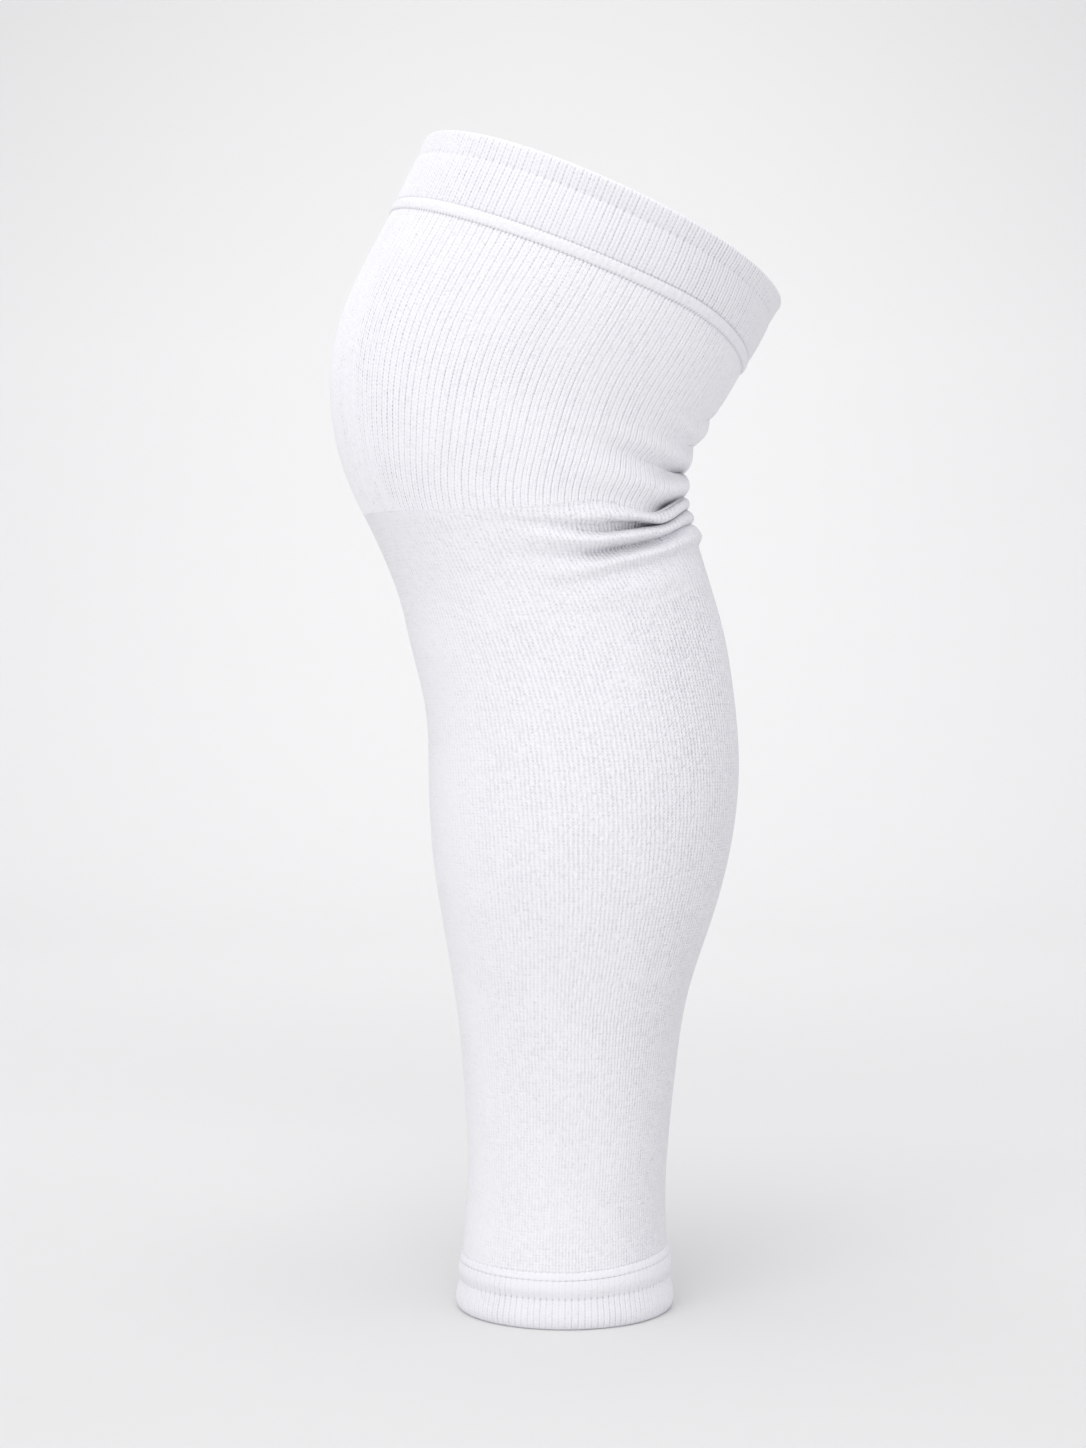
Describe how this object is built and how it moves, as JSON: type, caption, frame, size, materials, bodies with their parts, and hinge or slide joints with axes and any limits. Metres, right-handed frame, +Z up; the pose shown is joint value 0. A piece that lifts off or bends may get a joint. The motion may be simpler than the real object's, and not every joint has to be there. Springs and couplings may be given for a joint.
{
  "type": "sock sleeve",
  "caption": "Footless knitted leg sleeve in its worn form: a bent-knee tube with folds behind the knee, a ribbed thigh cuff on a raised seam and a ribbed ankle band.",
  "frame": {"origin": "centre of the ankle opening, in the plane of the ankle band's lower edge", "axes": "+Z up along the shin, +X to the calf, -X to the shin and kneecap, Y across the leg"},
  "size_m": [0.179, 0.1578, 0.4627],
  "materials": {
    "rib_knit": "white ribbed knit",
    "seam_knit": "white covered seam",
    "tube_knit": "white fine knit, ribbed over the knee"
  },
  "bodies": {
    "root": {"thigh_cuff": "rib_knit", "thigh_seam": "seam_knit", "leg_tube": "tube_knit", "ankle_seam": "seam_knit", "ankle_band": "rib_knit"}
  },
  "joints": []
}
